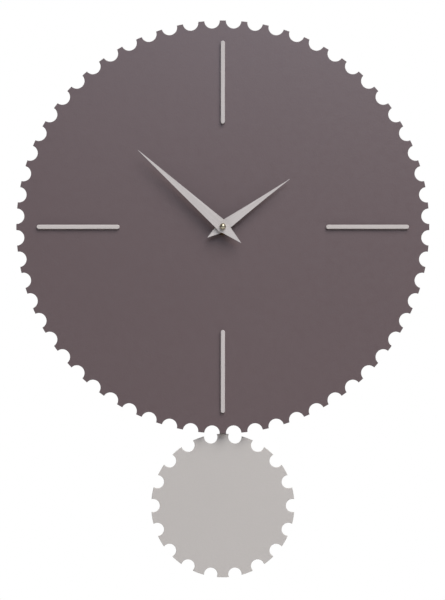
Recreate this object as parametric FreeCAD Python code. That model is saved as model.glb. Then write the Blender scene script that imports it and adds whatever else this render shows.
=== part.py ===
"""Quartz wall clock with a scalloped round dial and a scalloped disc pendulum.

Axes: X to the right as seen from the front, Y towards the wall, Z up.  Millimetres.
Origin: centre of the round hole in the hanger plate, on the wall plane.
A "depth" below is a distance in front of the wall, so a point at depth d has y = -d.
Places inside the movement are (x, z) pairs measured from the hand arbor.
"""

import FreeCAD
import Part

import math
import os

Vec = FreeCAD.Vector
FORWARD = Vec(0, -1, 0)

# ---------------------------------------------------------------- driving dimensions

ARBOR_DROP = 46.0            # hand arbor below the hanging hole

DIAL_RADIUS = 190.0
DIAL_TEETH = 60              # one tooth per minute
DIAL_NOTCH_RADIUS = 7.1
DIAL_NOTCH_PITCH_RADIUS = 190.0
DIAL_THICKNESS = 4.0
EDGE_CHAMFER = 0.3

BOB_RADIUS = 66.3
BOB_TEETH = 18
BOB_NOTCH_RADIUS = 6.2
BOB_NOTCH_PITCH_RADIUS = 64.5
BOB_THICKNESS = 4.0
BOB_DROP = 257.5             # bob centre below the hand arbor

MARKER_WIDTH = 3.9
MARKER_INNER_RADIUS = 94.8
MARKER_OUTER_RADIUS = 171.0
MARKER_THICKNESS = 3.0
MARKER_ROUNDING = 0.55       # of the front edges

HAND_THICKNESS = 0.6
HAND_HUB_RADIUS = 5.75
HAND_TIP_HALF_WIDTH = 0.12
MINUTE_LENGTH = 104.0
MINUTE_TAIL = 22.3
MINUTE_HALF_WIDTH = 5.45
MINUTE_ANGLE = 312.0         # clockwise from twelve, seen from the front: about 1:52
HOUR_LENGTH = 75.0
HOUR_TAIL = 17.1
HOUR_HALF_WIDTH = 5.35
HOUR_HOLLOW = 0.4            # how far the middle of each long side curves in
HOUR_ANGLE = 54.6

CASE_HALF_WIDTH = 30.0
CASE_TOP = 28.0
CASE_BOTTOM = -78.0
CASE_WALL = 1.5
CASE_DEPTH = 19.5
CASE_CORNER = 3.0
CASE_EDGE = 0.5              # bevel of the case's outer rims
LATCH_PLACES = [14.0, -62.0]
LATCH_HALF_WIDTH = 3.0
LATCH_WINDOW = (3.2, 4.8)    # depths
LATCH_ARM = 1.0

SHEET = 1.0                  # hanger plate thickness
GASKET = 1.0                 # rubber washer thickness

PENDULUM_PIVOT_Z = -51.0
PENDULUM_MAGNET_Z = -66.0
HOOK_Z = -82.0
ROD_WIDTH = 6.0
ROD_THICKNESS = 1.0
ROD_TOP = -79.2
ROD_END_BELOW_BOB_CENTRE = 30.0

RUNNING = 0.05               # radial clearance of a pivot in its hole

# ---------------------------------------------------------------- depths, wall to front

COVER = (0.0, CASE_WALL)
BRIDGE = (2.9, 3.7)
ROTOR_MAGNET = (3.9, 5.6)
STATOR = (4.2, 5.2)
CORE = (5.2, 6.2)
BOARD = (6.0, 7.0)
STEP_GEAR = (6.3, 7.1)
SECONDS_GEAR = (8.6, 9.4)
THIRD_GEAR = (10.4, 11.2)
MIDDLE_PLATE = (11.8, 12.6)
CENTRE_GEAR = (13.0, 13.8)
MINUTE_GEAR = (14.2, 15.0)
HOUR_GEAR = (15.6, 16.6)
FRONT_PLATE = (CASE_DEPTH - CASE_WALL, CASE_DEPTH)
PIVOT_END = FRONT_PLATE[0] + 0.9
HANGER_DEPTH = (CASE_DEPTH, CASE_DEPTH + SHEET)
GASKET_DEPTH = (HANGER_DEPTH[1], HANGER_DEPTH[1] + GASKET)
DIAL_DEPTH = (GASKET_DEPTH[1], GASKET_DEPTH[1] + DIAL_THICKNESS)
WASHER_DEPTH = (DIAL_DEPTH[1], DIAL_DEPTH[1] + 0.5)
NUT_DEPTH = (WASHER_DEPTH[1], WASHER_DEPTH[1] + 2.5)
BUSHING_END = NUT_DEPTH[1] + 2.5
HOUR_HAND_DEPTH = (33.0, 33.0 + HAND_THICKNESS)
MINUTE_HAND_DEPTH = (36.0, 36.0 + HAND_THICKNESS)
ROD_DEPTH = (11.5, 11.5 + ROD_THICKNESS)
BOB_DEPTH = (ROD_DEPTH[1], ROD_DEPTH[1] + BOB_THICKNESS)
LEVER_DEPTH = (8.0, 10.5)
LEVER_HUB_DEPTH = (7.5, 11.0)
DRIVE_COIL_DEPTH = (1.5, 6.4)

# ---------------------------------------------------------------- radii on the arbor

BUSHING_RADIUS = 4.0
WASHER_RADIUS = 7.6
NUT_ACROSS_FLATS = 12.0
BUSHING_BORE = 2.55
HOUR_TUBE_RADIUS = 2.5
CENTRE_ARBOR_RADIUS = 1.6
HOUR_TUBE_BORE = CENTRE_ARBOR_RADIUS + RUNNING
PIVOT_RADIUS = 0.35
PIVOT_HOLE_RADIUS = PIVOT_RADIUS + RUNNING
ROTOR_ARBOR_RADIUS = 0.6
WHEEL_ARBOR_RADIUS = 0.7
STUD_RADIUS = 0.8
KNOB_SHAFT_RADIUS = 1.5
PIN_RADIUS = 0.8
SCREW_RADIUS = 0.8
CENTRE_BOSS_RADIUS = 0.9
CENTRE_BOSS_END = 14.4
HAND_SEAT_RADIUS = 1.55
HAND_SEAT_HALF_WIDTH = 1.25

# ---------------------------------------------------------------- gear train

# Each mesh: (teeth of the wheel, teeth of the pinion, module).
CENTRE_TO_THIRD = (64, 8, 10.2 / 36)
THIRD_TO_SECONDS = (60, 8, 0.30)
SECONDS_TO_STEP = (48, 8, 0.28)
STEP_TO_ROTOR = (60, 12, 0.22)
MINUTE_TO_CANNON = (36, 12, 0.35)
HOUR_TO_MINUTE = (40, 10, 8.4 / 25)


def centre_distance(mesh):
    wheel, pinion, module = mesh
    return (wheel + pinion) * module / 2


def polar(radius, degrees, centre=(0.0, 0.0)):
    """The point at a radius and an angle, counted from +X towards +Z."""
    turn = math.radians(degrees)
    return (centre[0] + radius * math.cos(turn), centre[1] + radius * math.sin(turn))


THIRD_DIRECTION = 120.0
MINUTE_DIRECTION = 225.0
KNOB_DIRECTION = 190.0       # from the minute wheel

ARBOR = (0.0, 0.0)
THIRD_AXIS = polar(centre_distance(THIRD_TO_SECONDS), THIRD_DIRECTION)
STEP_AXIS = (centre_distance(SECONDS_TO_STEP), 0.0)
ROTOR_AXIS = (STEP_AXIS[0] + centre_distance(STEP_TO_ROTOR), 0.0)
MINUTE_AXIS = polar(centre_distance(MINUTE_TO_CANNON), MINUTE_DIRECTION)
KNOB_AXIS = polar(centre_distance(MINUTE_TO_CANNON), KNOB_DIRECTION, MINUTE_AXIS)

BRIDGE_POSTS = [(-15.5, 19.0), (9.0, 19.0), (8.0, -18.0)]
PLATE_POSTS = BRIDGE_POSTS + [(-8.0, -20.0)]
COIL_AXIS_X = 23.6
MOTOR_SCREWS = [(COIL_AXIS_X, 15.5), (COIL_AXIS_X, -15.5)]
BOARD_PEGS = [(-23.5, 21.5), (-23.5, -2.0)]
DRIVER_PEGS = [(19.5, -54.5), (19.5, -69.5)]

BATTERY_Z = -37.2
BATTERY_DEPTH = 8.2
BATTERY_RADIUS = 7.25
BATTERY_ENDS = (-24.5, 26.0)
BAY_HALF_LENGTH = 26.9
BAY_HALF_HEIGHT = 8.0
BAY_FLOOR = 16.0
BAY_WALL = 1.2
CONTACT_THICKNESS = 0.4
CONTACT_TAIL_DEPTH = (BOARD[1], BOARD[1] + 1.5)

NOTCH_RADIUS = 6.0           # finger notch beside the cell
NOTCH_RISE = 3.0
NOTCH_FLOOR = 5.0
PANEL_HALF_WIDTH = 26.5      # sunk panels of the cover; the land between them rests on the wall
PANEL_RECESS = 0.5
PANELS = [(-18.5, 24.5), (-74.5, -50.5)]

KNOB_RADIUS = 6.5
KNOB_DEPTH = (0.6, 3.4)
WELL_RADIUS = 8.0
WELL_FLOOR = 4.0
WELL_WALL = 1.0

# ---------------------------------------------------------------- shape helpers


def point(x, depth, z):
    """A place given from the arbor, as a vector in the part's frame."""
    return Vec(x, -depth, z - ARBOR_DROP)


def cylinder(radius, depths, axis=ARBOR):
    start, end = depths
    return Part.makeCylinder(radius, end - start, point(axis[0], start, axis[1]), FORWARD)


def tube(outer, inner, depths, axis=ARBOR):
    return cylinder(outer, depths, axis).cut(cylinder(inner, depths, axis))


def cone(radius_start, radius_end, depths, axis=ARBOR):
    start, end = depths
    return Part.makeCone(radius_start, radius_end, end - start, point(axis[0], start, axis[1]), FORWARD)


def box(x, depths, z):
    return Part.makeBox(x[1] - x[0], depths[1] - depths[0], z[1] - z[0], point(x[0], depths[1], z[0]))


def rounded_box(x, depths, z, radius):
    solid = box(x, depths, z)
    corners = [e for e in solid.Edges if abs(e.tangentAt(e.FirstParameter).y) > 0.99]
    return solid.makeFillet(radius, corners)


def fused(shapes):
    shapes = list(shapes)
    return shapes[0].fuse(shapes[1:]).removeSplitter() if len(shapes) > 1 else shapes[0]


def extruded(wire, depths):
    """A closed wire drawn at depth 0, pushed forward to span the depths."""
    face = Part.Face(wire)
    face.translate(Vec(0, -depths[0], 0))
    return face.extrude(FORWARD * (depths[1] - depths[0]))


def polygon(points):
    corners = [point(x, 0, z) for x, z in points]
    return Part.makePolygon(corners + corners[:1])


def arc(start, middle, end):
    return Part.Arc(*[point(x, 0, z) for x, z in (start, middle, end)]).toShape()


def line(start, end):
    return Part.LineSegment(point(start[0], 0, start[1]), point(end[0], 0, end[1])).toShape()


def chamfered_rims(solid, depths, size):
    """Breaks the outline edges of a flat plate that lie on the planes at these depths."""
    edges = [
        e for e in solid.Edges
        if any(abs(v.Y + d) < 1e-6 for d in depths for v in e.Vertexes[:1])
        and all(abs(v.Y - e.Vertexes[0].Y) < 1e-6 for v in e.Vertexes)
    ]
    return solid.makeChamfer(size, edges)


def scalloped_disc(centre, radius, teeth, notch_radius, notch_pitch_radius, depths):
    """A disc whose rim has round notches, with a tooth centred at the top."""
    pitch = 360.0 / teeth
    reach = (radius**2 + notch_pitch_radius**2 - notch_radius**2) / (2 * radius * notch_pitch_radius)
    notch_half_angle = math.degrees(math.acos(reach))
    land_half_angle = pitch / 2 - notch_half_angle
    edges = []
    for tooth in range(teeth):
        middle = 90.0 + tooth * pitch
        start = polar(radius, middle - land_half_angle, centre)
        end = polar(radius, middle + land_half_angle, centre)
        bottom = polar(notch_pitch_radius - notch_radius, middle + pitch / 2, centre)
        following = polar(radius, middle + pitch - land_half_angle, centre)
        edges.append(arc(start, polar(radius, middle, centre), end))
        edges.append(arc(end, bottom, following))
    plate = extruded(Part.Wire(edges), depths)
    return chamfered_rims(plate, depths, EDGE_CHAMFER)


def slot_shape(x, z, depths):
    """A bar with half-round ends along its longer side."""
    radius = min(x[1] - x[0], z[1] - z[0]) / 2
    return rounded_box(x, depths, z, radius * 0.999)


def turned(shape, clockwise_degrees):
    """Turned about the arbor, clockwise as seen from the front."""
    copy = shape.copy()
    copy.rotate(point(0, 0, 0), FORWARD, -clockwise_degrees)
    return copy


# ---------------------------------------------------------------- cycloidal gears

ADDENDUM = 0.95              # in modules
DEDENDUM = 1.30
FLANK_STEPS = 2
BACKLASH = 0.03              # taken off each side of a tooth, mm


def gear_wire(teeth, module, mate_teeth, axis, tooth_angle):
    """Radial flanks up to the pitch circle, then the epicycloid rolled by half the mate's pitch circle."""
    pitch_radius = teeth * module / 2
    rolling = mate_teeth * module / 4
    half_tooth = math.pi / (2 * teeth) - BACKLASH / pitch_radius
    root = pitch_radius - DEDENDUM * module
    flank = [(root, half_tooth), (pitch_radius, half_tooth)]
    for step in range(1, FLANK_STEPS + 1):
        radius = pitch_radius + ADDENDUM * module * step / FLANK_STEPS
        reach = pitch_radius + rolling
        roll = math.acos((reach**2 + rolling**2 - radius**2) / (2 * reach * rolling))
        centre_turn = roll * rolling / pitch_radius
        x = reach * math.cos(centre_turn) - rolling * math.cos(roll + centre_turn)
        z = reach * math.sin(centre_turn) - rolling * math.sin(roll + centre_turn)
        flank.append((radius, half_tooth - math.atan2(z, x)))
    outline = []
    for tooth in range(teeth):
        middle = tooth_angle + 360.0 * tooth / teeth
        rising = [polar(r, middle - math.degrees(a), axis) for r, a in flank]
        falling = [polar(r, middle + math.degrees(a), axis) for r, a in reversed(flank)]
        outline += rising + falling
    return polygon(outline)


def gear(teeth, module, mate_teeth, depths, axis, tooth_angle):
    return extruded(gear_wire(teeth, module, mate_teeth, axis, tooth_angle), depths)


def meshing_angle(direction, teeth, mate_teeth, mate_tooth_angle):
    """Where to put a tooth so that this gear meshes with its mate, which lies in the given direction.

    The mate sees this gear at direction + 180.  Its tooth nearest that line is off by some angle, and the
    gap of this gear that faces the mate is off by the same arc the other way.
    """
    mate_pitch = 360.0 / mate_teeth
    off = (mate_tooth_angle - (direction + 180.0)) % mate_pitch
    gap_angle = direction - off * mate_teeth / teeth
    return gap_angle + 180.0 / teeth


# ---------------------------------------------------------------- dial side


def dial_disc():
    disc = scalloped_disc(
        ARBOR, DIAL_RADIUS, DIAL_TEETH, DIAL_NOTCH_RADIUS, DIAL_NOTCH_PITCH_RADIUS, DIAL_DEPTH
    )
    return disc.cut(cylinder(BUSHING_RADIUS + 0.2, DIAL_DEPTH))


def hour_marker(clockwise_degrees):
    depths = (DIAL_DEPTH[1], DIAL_DEPTH[1] + MARKER_THICKNESS)
    half = MARKER_WIDTH / 2
    bar = slot_shape((-half, half), (MARKER_INNER_RADIUS, MARKER_OUTER_RADIUS), depths)
    front = [e for e in bar.Edges if all(abs(v.Y + depths[1]) < 1e-6 for v in e.Vertexes)]
    return turned(bar.makeFillet(MARKER_ROUNDING, front), clockwise_degrees)


def hand_blade(length, tail, half_width, depths, hollow=0.0):
    """A long kite with a round hub, pointing to twelve.  The long sides may curve in."""
    tip = HAND_TIP_HALF_WIDTH

    def long_side(start, end, inwards):
        middle = ((start[0] + end[0]) / 2 + inwards, (start[1] + end[1]) / 2)
        return arc(start, middle, end) if hollow else line(start, end)

    outline = [
        line((-tip, length), (tip, length)),
        long_side((tip, length), (half_width, 0), -hollow),
        line((half_width, 0), (tip, -tail)),
        line((tip, -tail), (-tip, -tail)),
        line((-tip, -tail), (-half_width, 0)),
        long_side((-half_width, 0), (-tip, length), hollow),
    ]
    kite = extruded(Part.Wire(outline), depths)
    return kite.fuse(cylinder(HAND_HUB_RADIUS, depths)).removeSplitter()


def minute_hand_seat():
    """The end of the arbor, with two flats that fit the hand's oblong hole."""
    flats = (-HAND_SEAT_HALF_WIDTH, HAND_SEAT_HALF_WIDTH)
    across = (-HAND_SEAT_RADIUS, HAND_SEAT_RADIUS)
    seat = cylinder(HAND_SEAT_RADIUS, MINUTE_HAND_DEPTH).common(box(flats, MINUTE_HAND_DEPTH, across))
    return turned(seat, MINUTE_ANGLE)


def minute_hand():
    blade = hand_blade(MINUTE_LENGTH, MINUTE_TAIL, MINUTE_HALF_WIDTH, MINUTE_HAND_DEPTH)
    return turned(blade, MINUTE_ANGLE).cut(minute_hand_seat())


def hour_hand():
    blade = hand_blade(HOUR_LENGTH, HOUR_TAIL, HOUR_HALF_WIDTH, HOUR_HAND_DEPTH, HOUR_HOLLOW)
    return turned(blade.cut(cylinder(HOUR_TUBE_RADIUS, HOUR_HAND_DEPTH)), HOUR_ANGLE)


COLLET_FLANGE_RADIUS = 5.2
COLLET_FLANGE = 0.5


def hour_hand_collet():
    """The brass ring riveted behind the hour hand, which grips the hour tube."""
    flange = cylinder(COLLET_FLANGE_RADIUS, (HOUR_HAND_DEPTH[0] - COLLET_FLANGE, HOUR_HAND_DEPTH[0]))
    ring = cylinder(3.6, (BUSHING_END + 0.4, HOUR_HAND_DEPTH[0]))
    return flange.fuse(ring).removeSplitter().cut(cylinder(HOUR_TUBE_RADIUS, (BUSHING_END, HOUR_HAND_DEPTH[0])))


def minute_hand_collet():
    """The brass ring riveted behind the minute hand, on the arbor below its two flats."""
    behind = MINUTE_HAND_DEPTH[0]
    flange = cylinder(COLLET_FLANGE_RADIUS, (behind - COLLET_FLANGE, behind))
    ring = cylinder(3.2, (HOUR_HAND_DEPTH[1] + 0.5, behind))
    bore = cylinder(CENTRE_ARBOR_RADIUS, (HOUR_HAND_DEPTH[1], behind))
    return flange.fuse(ring).removeSplitter().cut(bore)


CAP_RADIUS = 2.85
CAP_SKIRT = 2.0
THREAD_END = 39.2
THREAD_RADIUS = 1.3


def hand_cap_nut():
    start = MINUTE_HAND_DEPTH[1]
    skirt = (start, start + CAP_SKIRT)
    dome = Part.makeSphere(CAP_RADIUS, point(0, skirt[1], 0)).common(
        cylinder(CAP_RADIUS, (skirt[1], skirt[1] + CAP_RADIUS))
    )
    cap = cylinder(CAP_RADIUS, skirt).fuse(dome).removeSplitter()
    return cap.cut(cylinder(THREAD_RADIUS + RUNNING, (start, THREAD_END + 0.3)))


def fixing_washer():
    washer = tube(WASHER_RADIUS, BUSHING_RADIUS + 0.1, WASHER_DEPTH)
    return washer.makeChamfer(0.15, [e for e in washer.Edges if rim_of(e, WASHER_RADIUS, WASHER_DEPTH[1])])


def rim_of(edge, radius, depth):
    """Whether this is the circle of that radius on the plane at that depth."""
    curve = edge.Curve
    return hasattr(curve, "Radius") and abs(curve.Radius - radius) < 1e-6 and abs(curve.Center.y + depth) < 1e-6


def fixing_nut():
    corner_radius = NUT_ACROSS_FLATS / math.sqrt(3)
    blank = extruded(polygon([polar(corner_radius, 30.0 + 60.0 * k) for k in range(6)]), NUT_DEPTH)
    height = NUT_DEPTH[1] - NUT_DEPTH[0]
    rounded = cylinder(corner_radius, NUT_DEPTH).common(
        cone(corner_radius + height, NUT_ACROSS_FLATS / 2 + 0.1, NUT_DEPTH)
    )
    return blank.common(rounded).cut(cylinder(BUSHING_RADIUS, NUT_DEPTH))


THREAD_PITCH = 0.75
THREAD_GROOVE = 0.25


def threaded_bushing():
    """Pressed into the case from inside; the hands' tubes run in its bore."""
    flange = cylinder(6.5, (FRONT_PLATE[0] - 1.0, FRONT_PLATE[0]))
    barrel = cylinder(BUSHING_RADIUS, (FRONT_PLATE[0], BUSHING_END))
    grooves = []
    depth = NUT_DEPTH[1] + THREAD_PITCH / 2
    while depth < BUSHING_END:
        ring = tube(BUSHING_RADIUS + 1, BUSHING_RADIUS - THREAD_GROOVE, (depth, depth + THREAD_PITCH / 3))
        grooves.append(ring)
        depth += THREAD_PITCH
    body = flange.fuse(barrel).cut(Part.makeCompound(grooves))
    return body.removeSplitter().cut(cylinder(BUSHING_BORE, (FRONT_PLATE[0] - 1.0, BUSHING_END)))


def rubber_washer():
    return tube(12.0, BUSHING_RADIUS + 0.1, GASKET_DEPTH)


HANGER_HALF_WIDTH = 9.0
HANGER_HOLE_RADIUS = 3.0
HANGER_BEND_Z = 30.5         # where the plate turns back to the wall, above the case
HANGER_TOP = ARBOR_DROP + 9.0


def hanger_plate():
    """Clamped under the dial, bent over the case's top and back to the wall, with a hole for a nail."""
    wide = (-HANGER_HALF_WIDTH, HANGER_HALF_WIDTH)
    front = rounded_box(wide, HANGER_DEPTH, (-11.0, HANGER_BEND_Z + 12.0), 5.0)
    front = front.common(box(wide, HANGER_DEPTH, (-11.0, HANGER_BEND_Z)))
    shelf = box(wide, (0, HANGER_DEPTH[1]), (HANGER_BEND_Z - SHEET, HANGER_BEND_Z))
    ear = rounded_box(wide, (0, SHEET), (HANGER_BEND_Z - SHEET - 12.0, HANGER_TOP), 5.0)
    ear = ear.common(box(wide, (0, SHEET), (HANGER_BEND_Z - SHEET, HANGER_TOP)))
    plate = fused([front, shelf, ear])
    plate = plate.makeFillet(0.99 * SHEET, bend_edges(plate, HANGER_DEPTH[1], HANGER_BEND_Z))
    plate = plate.makeFillet(0.99 * SHEET, bend_edges(plate, 0, HANGER_BEND_Z - SHEET))
    holes = cylinder(HANGER_HOLE_RADIUS, (0, SHEET), (0, ARBOR_DROP)).fuse(
        cylinder(BUSHING_RADIUS + 0.1, HANGER_DEPTH)
    )
    return plate.cut(holes)


def bend_edges(plate, depth, z):
    """The straight edge across the plate at this depth and height."""
    height = z - ARBOR_DROP
    return [
        e for e in plate.Edges
        if all(abs(v.Y + depth) < 1e-6 and abs(v.Z - height) < 1e-6 for v in e.Vertexes)
    ]


# ---------------------------------------------------------------- movement case


def case_front():
    """The tray behind the dial, with the posts and pegs that carry the works."""
    wide = (-CASE_HALF_WIDTH, CASE_HALF_WIDTH)
    inner = CASE_HALF_WIDTH - CASE_WALL
    shell = rounded_box(wide, (COVER[1], CASE_DEPTH), (CASE_BOTTOM, CASE_TOP), CASE_CORNER)
    shell = chamfered_rims(shell, [CASE_DEPTH], CASE_EDGE)
    cavity = rounded_box(
        (-inner, inner), (COVER[1], FRONT_PLATE[0]),
        (CASE_BOTTOM + CASE_WALL, CASE_TOP - CASE_WALL), CASE_CORNER - CASE_WALL,
    )
    lever_slot = box((-8.0, 8.0), (6.5, 13.0), (CASE_BOTTOM - 1, CASE_BOTTOM + CASE_WALL + 1))
    windows = [
        box((side * CASE_HALF_WIDTH - 2.0, side * CASE_HALF_WIDTH + 2.0), LATCH_WINDOW,
            (z - LATCH_HALF_WIDTH - 0.2, z + LATCH_HALF_WIDTH + 0.2))
        for side in (-1, 1) for z in LATCH_PLACES
    ]
    shell = shell.cut([cavity, lever_slot, cylinder(BUSHING_RADIUS, FRONT_PLATE)] + windows)
    added = []
    for place in PLATE_POSTS:
        added.append(cylinder(2.0, (MIDDLE_PLATE[1], FRONT_PLATE[0]), place))
        added.append(cylinder(1.0, (MIDDLE_PLATE[0] - 0.6, MIDDLE_PLATE[1]), place))
    for place in BOARD_PEGS + DRIVER_PEGS:
        added.append(cylinder(1.8, (BOARD[1], FRONT_PLATE[0]), place))
        added.append(cylinder(0.8, (BOARD[0] - 0.4, BOARD[1]), place))
    added.append(cylinder(STUD_RADIUS, (MINUTE_GEAR[0] - 0.1, FRONT_PLATE[0]), MINUTE_AXIS))
    added.append(cylinder(1.2, (HOUR_GEAR[1] + 0.4, FRONT_PLATE[0]), MINUTE_AXIS))
    added.append(cylinder(2.5, (LEVER_HUB_DEPTH[1] + 0.2, FRONT_PLATE[0]), (0, PENDULUM_PIVOT_Z)))
    removed = [
        cylinder(PIVOT_HOLE_RADIUS, (FRONT_PLATE[0], PIVOT_END), THIRD_AXIS),
        cylinder(STUD_RADIUS + RUNNING, (FRONT_PLATE[0], PIVOT_END), KNOB_AXIS),
        cylinder(PIN_RADIUS, (LEVER_HUB_DEPTH[1], PIVOT_END), (0, PENDULUM_PIVOT_Z)),
    ]
    return shell.fuse(added).cut(removed).removeSplitter()


def latch(side, z):
    """A springy arm of the cover with a hook that snaps into a window of the case's side."""
    outer = CASE_HALF_WIDTH - CASE_WALL - 0.1
    height = (z - LATCH_HALF_WIDTH, z + LATCH_HALF_WIDTH)
    arm_x = sorted((side * outer, side * (outer - LATCH_ARM)))
    hook_x = sorted((side * (outer + 1.1), side * (outer - LATCH_ARM)))
    hook = (LATCH_WINDOW[0] + 0.15, LATCH_WINDOW[1] - 0.15)
    return fused([box(arm_x, (COVER[1], hook[1]), height), box(hook_x, hook, height)])


def case_back():
    """The snap-on cover, with the battery bay and the setting knob's well moulded in."""
    wide = (-CASE_HALF_WIDTH, CASE_HALF_WIDTH)
    plate = rounded_box(wide, COVER, (CASE_BOTTOM, CASE_TOP), CASE_CORNER)
    plate = chamfered_rims(plate, [COVER[0]], CASE_EDGE)
    fit = CASE_WALL + 0.1
    lip = CASE_HALF_WIDTH - fit
    rim_depths = (COVER[1], COVER[1] + 1.2)
    rim = rounded_box((-lip, lip), rim_depths, (CASE_BOTTOM + fit, CASE_TOP - fit), CASE_CORNER - CASE_WALL)
    rim = rim.cut(box((1 - lip, lip - 1), rim_depths, (CASE_BOTTOM + fit + 1, CASE_TOP - fit - 1)))
    half = BAY_HALF_LENGTH
    bay = ((-half, half), (BATTERY_Z - BAY_HALF_HEIGHT, BATTERY_Z + BAY_HALF_HEIGHT))
    outer_x = (-half - BAY_WALL, half + BAY_WALL)
    outer_z = (bay[1][0] - BAY_WALL, bay[1][1] + BAY_WALL)
    tray = box(outer_x, (COVER[0], BAY_FLOOR + BAY_WALL), outer_z)
    well = cylinder(WELL_RADIUS + WELL_WALL, (COVER[0], WELL_FLOOR + WELL_WALL), KNOB_AXIS)
    pin_boss = cylinder(2.5, (COVER[0], LEVER_HUB_DEPTH[0] - 0.2), (0, PENDULUM_PIVOT_Z))
    coil_peg = cylinder(1.5, (COVER[0], DRIVE_COIL_DEPTH[1]), (0, PENDULUM_MAGNET_Z))
    tail = (CONTACT_TAIL_DEPTH[0] - 0.3, CONTACT_TAIL_DEPTH[1] + 0.3)
    latches = [latch(side, z) for side in (-1, 1) for z in LATCH_PLACES]
    notch_place = (0, bay[1][0] + NOTCH_RISE)
    notch_wall = cylinder(NOTCH_RADIUS + BAY_WALL, (COVER[0], NOTCH_FLOOR + BAY_WALL), notch_place)
    removed = [cylinder(NOTCH_RADIUS, (COVER[0], NOTCH_FLOOR), notch_place)]
    removed += [
        rounded_box((-PANEL_HALF_WIDTH, PANEL_HALF_WIDTH), (COVER[0], PANEL_RECESS), z, 2.0) for z in PANELS
    ]
    removed += [
        box(bay[0], (COVER[0], BAY_FLOOR), bay[1]),
        cylinder(WELL_RADIUS, (COVER[0], WELL_FLOOR), KNOB_AXIS),
        cylinder(KNOB_SHAFT_RADIUS + RUNNING, (WELL_FLOOR, WELL_FLOOR + WELL_WALL), KNOB_AXIS),
        cylinder(PIN_RADIUS, (COVER[1], LEVER_HUB_DEPTH[0]), (0, PENDULUM_PIVOT_Z)),
        box((-half, 0.6 - half), tail, (bay[1][1], outer_z[1])),
        box((half - 0.6, half), tail, (outer_z[0], bay[1][0])),
    ]
    added = [rim, tray, well, pin_boss, coil_peg, notch_wall] + latches
    return plate.fuse(added).cut(removed).removeSplitter()


# ---------------------------------------------------------------- plates of the works


def middle_plate():
    """Parts the fast wheels from the hand work; its boss is the rear bearing of the minute arbor."""
    plate = rounded_box((-19.0, 27.0), MIDDLE_PLATE, (-22.5, 22.5), 2.0)
    added = [cylinder(2.0, (BRIDGE[1], MIDDLE_PLATE[0]), place) for place in BRIDGE_POSTS]
    added += [cylinder(2.0, (CORE[1], MIDDLE_PLATE[0]), place) for place in MOTOR_SCREWS]
    added.append(cylinder(CENTRE_BOSS_RADIUS, (MIDDLE_PLATE[1], CENTRE_BOSS_END), ARBOR))
    removed = [cylinder(1.0, (MIDDLE_PLATE[0] - 0.6, MIDDLE_PLATE[1]), place) for place in PLATE_POSTS]
    removed += [cylinder(SCREW_RADIUS, (BRIDGE[1], BRIDGE[1] + 4.0), place) for place in BRIDGE_POSTS]
    removed += [cylinder(SCREW_RADIUS, (CORE[1], CORE[1] + 3.0), place) for place in MOTOR_SCREWS]
    removed += [cylinder(PIVOT_HOLE_RADIUS, MIDDLE_PLATE, place) for place in (STEP_AXIS, ROTOR_AXIS)]
    removed.append(cylinder(PIVOT_HOLE_RADIUS, (MIDDLE_PLATE[0], CENTRE_GEAR[0] + 0.2), ARBOR))
    removed.append(cylinder(1.3, MIDDLE_PLATE, THIRD_AXIS))
    removed.append(cylinder(KNOB_SHAFT_RADIUS + 0.4, MIDDLE_PLATE, KNOB_AXIS))
    return plate.fuse(added).cut(removed).removeSplitter()


def bridge():
    """The thin plate with the rear bearings of the four fast arbors."""
    outline = [
        (-18.5, 21.5), (11.5, 21.5), (19.5, 6.0), (19.5, -6.0), (11.0, -20.5), (5.5, -20.5),
        (3.0, -8.0), (-6.0, 2.0), (-18.5, 12.0),
    ]
    plate = extruded(polygon(outline), BRIDGE)
    pivots = [THIRD_AXIS, ARBOR, STEP_AXIS, ROTOR_AXIS]
    removed = [cylinder(PIVOT_HOLE_RADIUS, BRIDGE, place) for place in pivots]
    removed += [cylinder(SCREW_RADIUS, BRIDGE, place) for place in BRIDGE_POSTS]
    return plate.cut(removed)


def screws(places, head_depths, length):
    """Identical slotted screws driven in from the back; one solid each."""
    solids = []
    for place in places:
        screw = cylinder(1.6, head_depths, place)
        screw = screw.fuse(cylinder(SCREW_RADIUS, (head_depths[1], head_depths[1] + length), place))
        slot = box((place[0] - 2, place[0] + 2), (head_depths[0], head_depths[0] + 0.4),
                   (place[1] - 0.25, place[1] + 0.25))
        solids.append(screw.cut(slot).removeSplitter())
    return Part.makeCompound(solids)


def bridge_screws():
    return screws(BRIDGE_POSTS, (BRIDGE[0] - 1.0, BRIDGE[0]), 4.5)


def motor_screws():
    return screws(MOTOR_SCREWS, (STATOR[0] - 1.0, STATOR[0]), 4.8)


# ---------------------------------------------------------------- wheels


def wheel_tooth_angles():
    """One tooth's angle on every gear, worked outwards from the minute arbor so that all of them mesh."""
    angles = {"centre": 90.0, "cannon": 90.0}

    def mesh(name, gear_teeth, mate, mate_teeth, direction):
        angles[name] = meshing_angle(direction, gear_teeth, mate_teeth, angles[mate])

    mesh("third_pinion", CENTRE_TO_THIRD[1], "centre", CENTRE_TO_THIRD[0], THIRD_DIRECTION + 180.0)
    angles["third"] = 90.0
    mesh("seconds_pinion", THIRD_TO_SECONDS[1], "third", THIRD_TO_SECONDS[0], THIRD_DIRECTION)
    angles["seconds"] = 90.0
    mesh("step_pinion", SECONDS_TO_STEP[1], "seconds", SECONDS_TO_STEP[0], 180.0)
    angles["step"] = 90.0
    mesh("rotor_pinion", STEP_TO_ROTOR[1], "step", STEP_TO_ROTOR[0], 180.0)
    mesh("minute", MINUTE_TO_CANNON[0], "cannon", MINUTE_TO_CANNON[1], MINUTE_DIRECTION + 180.0)
    angles["minute_pinion"] = 90.0
    mesh("hour", HOUR_TO_MINUTE[0], "minute_pinion", HOUR_TO_MINUTE[1], MINUTE_DIRECTION)
    mesh("knob", MINUTE_TO_CANNON[1], "minute", MINUTE_TO_CANNON[0], KNOB_DIRECTION + 180.0)
    return angles


TOOTH_ANGLES = wheel_tooth_angles()


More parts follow.
